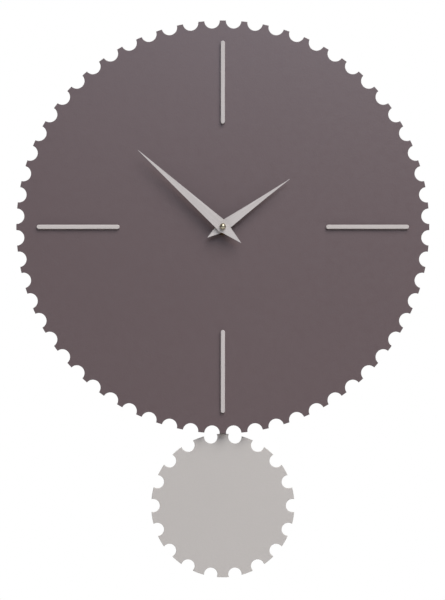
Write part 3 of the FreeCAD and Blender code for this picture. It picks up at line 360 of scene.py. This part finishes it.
def finish_the_rest():
    for maker, nodes in (
        (plated("cap_metal", "#b8af99", "#998f79", 0.33), "hand_cap_nut"),
        (turned_brass("brass"), "hour_hand_collet minute_hand_collet threaded_bushing centre_wheel"),
        # The fixing washer and nut get a very dark brass: painted shade for the shadow the hands cast over
        # them, not a finish of their own.
        (plated("dark_shaded_brass", "#5b4431", "#38281b", 0.42), "fixing_washer fixing_nut"),
        (rubber("rubber"), "rubber_washer"),
        (plated("zinc_steel", "#b9bcbf", "#8f9396", 0.34),
         "hanger_plate bridge_screws motor_screws pendulum_rod pendulum_pivot_pin"),
        (plastic("black_plastic", "#1b1b1d", "#27272a", 0.5), "case_front case_back"),
        (plastic("knob_plastic", "#2a2a2d", "#39393c", 0.45), "setting_knob"),
        (plastic("natural_plastic", "#cfc5ab", "#dcd4bd", 0.45),
         "middle_plate bridge motor_bobbin drive_bobbin"),
        (plastic("white_plastic", "#e2e0d8", "#f0efe9", 0.38),
         "rotor_pinion step_wheel seconds_wheel third_wheel minute_wheel hour_wheel pendulum_lever"),
        (ferrite("magnet"), "rotor_magnet pendulum_magnet"),
        (plated("soft_iron", "#8d8d90", "#6f6f73", 0.42), "motor_stator motor_core"),
        (circuit("board"), "circuit_board driver_board"),
        (plastic("resin", "#0c0c0d", "#1a1a1c", 0.25, 500.0, 0.00004), "clock_chip driver_chip"),
        (plated("can_metal", "#c6c6c6", "#a0a0a0", 0.22), "quartz_crystal driver_capacitor"),
        (plated("contact_metal", "#c9c4b4", "#9d9888", 0.3), "contact_positive contact_negative"),
    ):
        put(maker.material, *nodes.split())


paint_bars_and_hands()
finish_the_rest()


# ---------------------------------------------------------------- pieces shaped here

SHARP = math.radians(32)     # an edge that turns by more than this is drawn sharp
FULL_TURN = 2 * math.pi


def make_piece(name, bm, material, body, creases=()):
    """Turns a bmesh into a piece that rides on a body: smooth faces, and sharp edges where it turns hard."""
    bmesh.ops.recalc_face_normals(bm, faces=bm.faces)
    for face in bm.faces:
        face.smooth = True
    for edge in bm.edges:
        edge.smooth = edge.is_manifold and edge.calc_face_angle() < SHARP
    for edge in creases:
        edge.smooth = False
    mesh = bpy.data.meshes.new(name)
    bm.to_mesh(mesh)
    bm.free()
    mesh.materials.append(material)
    obj = bpy.data.objects.new(name, mesh)
    bpy.context.collection.objects.link(obj)
    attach(obj, body)
    return obj


def bridge_rings(bm, rings):
    """Faces between each ring of points and the next one; a ring of one point closes to a fan."""
    for near, far in zip(rings, rings[1:]):
        count = max(len(near), len(far))
        for k in range(count):
            following = (k + 1) % count
            corners = [near[k % len(near)], near[following % len(near)],
                       far[following % len(far)], far[k % len(far)]]
            bm.faces.new(list(dict.fromkeys(corners)))


def lathe(bm, origin, profile, segments=72):
    """Turns an outline of (distance along X, radius) about the line along X through the origin."""
    rings = []
    for along, radius in profile:
        turns = range(segments if radius else 1)
        rings.append([
            bm.verts.new((origin[0] + along,
                          origin[1] + radius * math.cos(FULL_TURN * k / segments),
                          origin[2] + radius * math.sin(FULL_TURN * k / segments)))
            for k in turns
        ])
    if profile[0][1] and profile[-1][1]:
        rings.append(rings[0])
    bridge_rings(bm, rings)


def rounded(centre, radius, start, end, steps=6):
    """Points of a round corner in an outline, between two angles in degrees."""
    angles = [math.radians(start + (end - start) * k / steps) for k in range(steps + 1)]
    return [(centre[0] + radius * math.cos(a), centre[1] + radius * math.sin(a)) for a in angles]


# The two scalloped discs, cut from board and lacquered: fine round notches and slightly rounded edges.

DIAL_TEETH, DIAL_NOTCH, DIAL_NOTCH_PITCH = 60, 0.0071, 0.190
BOB_TEETH, BOB_NOTCH, BOB_NOTCH_PITCH = 18, 0.0062, 0.0645
ARBOR_HOLE = 0.0042
ROUND_OVER = 0.0004          # radius of the discs' rounded edges
ROUND_STEPS = 4
LAND_STEPS = 5
NOTCH_STEPS = 22
BORE_STEPS = 96


def scallops(radius, teeth, notch, notch_pitch, inset):
    """The disc's outline, drawn in by the inset: rim arcs between round notches, with a tooth on top."""
    rim = radius - inset
    hollow = notch + inset
    half_notch = math.acos((rim**2 + notch_pitch**2 - hollow**2) / (2 * rim * notch_pitch))
    pitch = FULL_TURN / teeth
    half_land = pitch / 2 - half_notch
    entry = math.atan2(-rim * math.sin(half_notch), rim * math.cos(half_notch) - notch_pitch)
    points = []
    for tooth in range(teeth):
        top = FULL_TURN / 4 + tooth * pitch
        for k in range(LAND_STEPS):
            angle = top - half_land + 2 * half_land * k / LAND_STEPS
            points.append((rim * math.cos(angle), rim * math.sin(angle)))
        outwards = top + pitch / 2
        for k in range(NOTCH_STEPS):
            angle = outwards + entry - (FULL_TURN + 2 * entry) * k / NOTCH_STEPS
            points.append((notch_pitch * math.cos(outwards) + hollow * math.cos(angle),
                           notch_pitch * math.sin(outwards) + hollow * math.sin(angle)))
    return points


def loop_edges(bm, ring):
    """The edges that join a ring of points, made where they are missing."""
    return [bm.edges.get((a, b)) or bm.edges.new((a, b)) for a, b in zip(ring, ring[1:] + ring[:1])]


def scalloped_disc(name, node, teeth, notch, notch_pitch, hole, material, body):
    """A scalloped disc in the node's place, its front and back edges rounded, with a bore or none."""
    low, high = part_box(node)
    centre_x, centre_z = (low[0] + high[0]) / 2, (low[2] + high[2]) / 2
    radius = (high[2] - low[2]) / 2
    rounding = []
    for step in range(ROUND_STEPS + 1):
        turn = math.radians(90 * step / ROUND_STEPS)
        rounding.append((ROUND_OVER * (1 - math.sin(turn)), ROUND_OVER * (1 - math.cos(turn))))
    levels = [(inset, low[1] + rise) for inset, rise in rounding]
    levels += [(inset, high[1] - rise) for inset, rise in reversed(rounding)]
    bm = bmesh.new()
    rings = []
    for inset, y in levels:
        outline = scallops(radius, teeth, notch, notch_pitch, inset)
        rings.append([bm.verts.new((centre_x + x, y, centre_z + z)) for x, z in outline])
    bridge_rings(bm, rings)
    rims = [loop_edges(bm, rings[0]), loop_edges(bm, rings[-1])]
    faces = [list(rim) for rim in rims]
    if hole:
        bores = [
            [bm.verts.new((centre_x + hole * math.cos(FULL_TURN * k / BORE_STEPS), y,
                           centre_z + hole * math.sin(FULL_TURN * k / BORE_STEPS)))
             for k in range(BORE_STEPS)]
            for y in (low[1], high[1])
        ]
        bridge_rings(bm, bores)
        faces = [rim + loop_edges(bm, bore) for rim, bore in zip(faces, bores)]
    for edges in faces:
        bmesh.ops.triangle_fill(bm, use_beauty=True, use_dissolve=False, edges=edges)
    piece = make_piece(name, bm, material, body, rims[0] + rims[1])
    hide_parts(node)


scalloped_disc("dial_panel", "dial_disc", DIAL_TEETH, DIAL_NOTCH, DIAL_NOTCH_PITCH, ARBOR_HOLE,
               lacquer("dial_lacquer", "#5d4e4f", "#564748", "#655657", 0.38).material,
               "clock")
scalloped_disc("bob_panel", "pendulum_bob", BOB_TEETH, BOB_NOTCH, BOB_NOTCH_PITCH, None,
               lacquer("bob_lacquer", "#b3aca7", "#a7a19b", "#bcb5b1", 0.55).material,
               "pendulum")


# The AA cell: a shrunk sleeve that laps over both ends, a steel cap with its button, and a steel base.

CELL_LOW, CELL_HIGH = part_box("battery")
CELL_RADIUS = (CELL_HIGH[2] - CELL_LOW[2]) / 2
CELL_LENGTH = CELL_HIGH[0] - CELL_LOW[0]
CELL_ORIGIN = (CELL_LOW[0], (CELL_LOW[1] + CELL_HIGH[1]) / 2, (CELL_LOW[2] + CELL_HIGH[2]) / 2)
BUTTON_HEIGHT = 0.001
BUTTON_RADIUS = 0.00275
BUTTON_ROUND = 0.0003        # radius of the button's free edge
BUTTON_FILLET = 0.0004       # and of its foot
SLEEVE_LAP = 0.0013
SLEEVE_SKIN = 0.0001
SLEEVE_BEND = 0.0006
BAND_LENGTH = 0.0150         # the darker band, from the button's top
BAND_BLUR = 0.0002
CAN_DEPTH = 0.0012           # how far cap and base reach into the sleeve
CAN_GAP = 0.0005             # from their edges out to the cell's radius
CAP_RIM, CAP_GROOVE = 0.0021, 0.0024                     # in from the cell's radius
CAP_RIM_SINK, CAP_GROOVE_SINK = 0.00035, 0.0007          # below the shoulder
CAP_FILLET_SINK = 0.0003     # the centre of the button's fillet, below the shoulder
BASE_RIM, BASE_STEP, BASE_MIDDLE = 0.0019, 0.0026, 0.0031    # in from the cell's radius
BASE_EDGE, BASE_STEP_SINK, BASE_MIDDLE_SINK = 0.0004, 0.0001, 0.0003     # in from the cell's flat end
BASE_ROUND = 0.0003          # radius of the base's rounded rim


def sleeve_print():
    """Plain satin foil: a light body with one darker band at the positive end."""
    m = Maker("cell_sleeve", "#b9bdc0", 0.3, 0.35)
    m.tint(m.ramp(m.noise(m.stretched((30, 700, 700)), 1.0, 3.0), 0.0, 0.35), "#a4a8ab")
    split = m.node("ShaderNodeSeparateXYZ")
    m.link(m.coords, split.inputs[0])
    band = m.node("ShaderNodeMapRange")
    band.inputs["From Min"].default_value = CELL_HIGH[0] - BAND_LENGTH - BAND_BLUR
    band.inputs["From Max"].default_value = CELL_HIGH[0] - BAND_LENGTH
    m.link(split.outputs["X"], band.inputs["Value"])
    m.tint(band.outputs["Result"], "#2f5f4a")
    m.rough(m.ramp(m.noise(m.coords, 150.0, 3.0), 0.24, 0.38))
    m.bump(m.noise(m.stretched((90, 500, 500)), 1.0, 3.0), 0.00003)
    return m


def cell():
    shoulder = CELL_LENGTH - BUTTON_HEIGHT
    outer = (
        [(SLEEVE_SKIN, CELL_RADIUS - SLEEVE_LAP)]
        + rounded((SLEEVE_BEND, CELL_RADIUS - SLEEVE_BEND), SLEEVE_BEND, 180, 90)
        + rounded((shoulder - SLEEVE_BEND, CELL_RADIUS - SLEEVE_BEND), SLEEVE_BEND, 90, 0)
        + [(shoulder, CELL_RADIUS - SLEEVE_LAP)]
    )
    inner = [(shoulder - 2 * SLEEVE_SKIN, CELL_RADIUS - SLEEVE_LAP),
             (shoulder - 2 * SLEEVE_SKIN, CELL_RADIUS - 2 * SLEEVE_SKIN),
             (3 * SLEEVE_SKIN, CELL_RADIUS - 2 * SLEEVE_SKIN),
             (3 * SLEEVE_SKIN, CELL_RADIUS - SLEEVE_LAP)]
    bm = bmesh.new()
    lathe(bm, CELL_ORIGIN, outer + inner)
    sleeve = make_piece("cell_sleeve", bm, sleeve_print().material, "clock")

    steel = plated("cell_steel", "#c9cacb", "#a7a9ab", 0.25).material
    edge = CELL_RADIUS - CAN_GAP
    bm = bmesh.new()
    lathe(bm, CELL_ORIGIN, [
        (shoulder - CAN_DEPTH, 0.0), (shoulder - CAN_DEPTH, edge),
        (shoulder - CAP_RIM_SINK, edge), (shoulder - CAP_RIM_SINK, CELL_RADIUS - CAP_RIM),
        (shoulder - CAP_GROOVE_SINK, CELL_RADIUS - CAP_GROOVE),
        (shoulder - CAP_GROOVE_SINK, BUTTON_RADIUS + BUTTON_FILLET),
        # the fillet's first point is the one before it, so it starts at its second
    ] + rounded((shoulder - CAP_FILLET_SINK, BUTTON_RADIUS + BUTTON_FILLET), BUTTON_FILLET, 180, 270, 4)[1:]
      + rounded((CELL_LENGTH - BUTTON_ROUND, BUTTON_RADIUS - BUTTON_ROUND), BUTTON_ROUND, 90, 0, 4)
      + [(CELL_LENGTH, 0.0)])
    make_piece("cell_cap", bm, steel, "clock")

    bm = bmesh.new()
    lathe(bm, CELL_ORIGIN, [
        (CAN_DEPTH, 0.0), (CAN_DEPTH, edge), (BASE_EDGE, edge),
    ] + rounded((BASE_EDGE, CELL_RADIUS - BASE_RIM), BASE_ROUND, 90, 180, 4)
      + [(BASE_STEP_SINK, CELL_RADIUS - BASE_STEP), (BASE_MIDDLE_SINK, CELL_RADIUS - BASE_MIDDLE),
         (BASE_MIDDLE_SINK, 0.0)])
    make_piece("cell_base", bm, steel, "clock")
    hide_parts("battery")


cell()


# The two coils: layers of fine enamelled wire, so each has a ribbed outside and flat ends.

def rounded_rectangle(half_width, half_height, radius, corner_steps=5):
    points = []
    for quarter, (side_x, side_y) in enumerate(((1, 1), (-1, 1), (-1, -1), (1, -1))):
        centre = (side_x * (half_width - radius), side_y * (half_height - radius))
        points += rounded(centre, radius, 90 * quarter, 90 * quarter + 90, corner_steps)
    return points


WIRE_RISE = (0.0, 0.75, 1.0, 0.75)   # how far out the wire stands at each quarter of its pitch
LEAST_CORNER = 0.0003


def winding(name, node, axis, wall, turns, corner, material):
    """Wire wound round an axis ('Y' or 'Z') to fill the node's box, with a wall that thick."""
    low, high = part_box(node)
    centre = [(a + b) / 2 for a, b in zip(low, high)]
    across = [0, 1] if axis == "Z" else [0, 2]
    along = 2 if axis == "Z" else 1
    half = [(high[i] - low[i]) / 2 for i in across]
    pitch = (high[along] - low[along]) / turns
    wire = pitch / 2

    def ring(bm, sizes, radius, place):
        points = []
        for u, v in rounded_rectangle(sizes[0], sizes[1], radius):
            spot = [0.0, 0.0, 0.0]
            spot[across[0]] = centre[across[0]] + u
            spot[across[1]] = centre[across[1]] + v
            spot[along] = place
            points.append(bm.verts.new(spot))
        return points

    bm = bmesh.new()
    inside = [size - wall for size in half]
    inner_corner = max(corner - wall, LEAST_CORNER)
    rings = [ring(bm, inside, inner_corner, low[along])]
    for turn in range(turns):
        start = low[along] + turn * pitch
        for step, rise in enumerate(WIRE_RISE):
            sizes = [size - wire * (1 - rise) for size in half]
            rings.append(ring(bm, sizes, corner - wire * (1 - rise), start + step * pitch / len(WIRE_RISE)))
    rings.append(ring(bm, [size - wire for size in half], corner - wire, high[along]))
    rings.append(ring(bm, inside, inner_corner, high[along]))
    bridge_rings(bm, rings + rings[:1])
    piece = make_piece(name, bm, material, "clock")
    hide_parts(node)


winding("motor_winding", "motor_coil", "Z", wall=0.0008, turns=96, corner=0.0012,
        material=enamelled_wire("motor_copper", (200, 200, 4500)).material)
winding("drive_winding", "drive_coil", "Y", wall=0.0035, turns=18, corner=0.00585,
        material=enamelled_wire("drive_copper", (200, 4500, 200)).material)


# Marks moulded on the cover's sunk panels: two arrows round the knob, and which way round the cell goes.

COVER_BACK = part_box("case_back")[1][1]
MARK_FLOOR = COVER_BACK - 0.0006
MARK_TOP = COVER_BACK - 0.00018
MARK_BEVEL = 0.00008
ARROW_RADIUS, ARROW_WIDTH = 0.0108, 0.0009
ARROW_HEAD = 1.5             # the head's half width, in widths of the arrow
MARK_ROW = 0.0205            # the cell's marks, below the cell's middle
SIGN_INSET = 0.006           # plus and minus, in from the cell's ends
SIGN_ARM, SIGN_STROKE = 0.0024, 0.0005                   # half of each
OUTLINE_LENGTH, OUTLINE_HEIGHT = 0.0105, 0.0036          # half of each
OUTLINE_LINE = 0.0008
OUTLINE_BUTTON = (0.0006, 0.0012)                        # half of its length and height
OUTLINE_BUTTON_OUT = 0.0007  # its middle, beyond the outline's end


def raised(bm, outline):
    """Pushes a flat outline of (x, z) points out of the panel, with its free edges broken."""
    face = bm.faces.new([bm.verts.new((x, MARK_FLOOR, z)) for x, z in outline])
    pushed = bmesh.ops.extrude_face_region(bm, geom=[face])["geom"]
    top = [item for item in pushed if isinstance(item, bmesh.types.BMVert)]
    bmesh.ops.translate(bm, verts=top, vec=(0, MARK_TOP - MARK_FLOOR, 0))
    rim = {edge for vert in top for edge in vert.link_edges if all(end in top for end in edge.verts)}
    bmesh.ops.bevel(bm, geom=list(rim), offset=MARK_BEVEL, segments=2, affect="EDGES")


def bar(centre, half_width, half_height):
    """A rectangle's outline."""
    x, z = centre
    return [(x - half_width, z - half_height), (x + half_width, z - half_height),
            (x + half_width, z + half_height), (x - half_width, z + half_height)]


def plus_sign(centre, arm, stroke):
    """A plus sign's outline, a quarter at a time."""
    corners = [(-arm, -stroke), (-stroke, -stroke), (-stroke, -arm)]
    points = []
    for _ in range(4):
        points += [(centre[0] + x, centre[1] + z) for x, z in corners]
        corners = [(-z, x) for x, z in corners]
    return points


def raised_frame(bm, centre, half_width, half_height, line):
    """The outline of a rectangle as one raised ridge, its free edges broken by a flat."""
    rings = []
    for inset, y in (
        (0, MARK_FLOOR), (0, MARK_TOP - MARK_BEVEL), (MARK_BEVEL, MARK_TOP),
        (line - MARK_BEVEL, MARK_TOP), (line, MARK_TOP - MARK_BEVEL), (line, MARK_FLOOR),
    ):
        corners = bar(centre, half_width - inset, half_height - inset)
        rings.append([bm.verts.new((x, y, z)) for x, z in corners])
    bridge_rings(bm, rings + rings[:1])


def curved_arrow(centre, radius, width, start, end, head):
    """An arc from one angle to another, in degrees, with a pointed head past its end."""
    steps = 12
    angles = [math.radians(start + (end - start) * k / steps) for k in range(steps + 1)]
    tip = math.radians(end + head)

    def at(distance, angle):
        return (centre[0] + distance * math.cos(angle), centre[1] + distance * math.sin(angle))

    outside = [at(radius + width / 2, a) for a in angles]
    inside = [at(radius - width / 2, a) for a in reversed(angles)]
    head_half = ARROW_HEAD * width
    point = [at(radius + head_half, angles[-1]), at(radius, tip), at(radius - head_half, angles[-1])]
    return outside + point + inside


def cover_marks(material):
    knob = middle("setting_knob")
    row = CELL_ORIGIN[2] - MARK_ROW
    plus = (CELL_HIGH[0] - SIGN_INSET, row)
    minus = (CELL_LOW[0] + SIGN_INSET, row)
    middle_x = (plus[0] + minus[0]) / 2
    bm = bmesh.new()
    for start, end, head in ((95, 140, 14), (85, 40, -14)):
        raised(bm, curved_arrow((knob[0], knob[2]), ARROW_RADIUS, ARROW_WIDTH, start, end, head))
    raised(bm, plus_sign(plus, SIGN_ARM, SIGN_STROKE))
    raised(bm, bar(minus, SIGN_ARM, SIGN_STROKE))
    raised_frame(bm, (middle_x, row), OUTLINE_LENGTH, OUTLINE_HEIGHT, OUTLINE_LINE)
    raised(bm, bar((middle_x + OUTLINE_LENGTH + OUTLINE_BUTTON_OUT, row), *OUTLINE_BUTTON))
    make_piece("cover_marks", bm, material, "clock")


cover_marks(bpy.data.materials["black_plastic"])


# ---------------------------------------------------------------- floor

FLOOR_RADIUS = 2.0
FLOOR_DROP = 0.45            # below the pendulum disc


def pale_floor():
    mesh = bpy.data.meshes.new("Floor")
    bm = bmesh.new()
    bmesh.ops.create_circle(bm, cap_ends=True, segments=96, radius=FLOOR_RADIUS,
                            matrix=Matrix.Translation((0, 0, CAD_BOX[0][2] - FLOOR_DROP)))
    bm.to_mesh(mesh)
    bm.free()
    floor = bpy.data.objects.new("Floor", mesh)
    bpy.context.collection.objects.link(floor)
    m = Maker("floor", "#e9e9e8", 0.6)
    m.tint(m.ramp(m.noise(m.coords, 3.0, 2.0), 0.0, 0.3), "#e2e2e1")
    mesh.materials.append(m.material)


pale_floor()
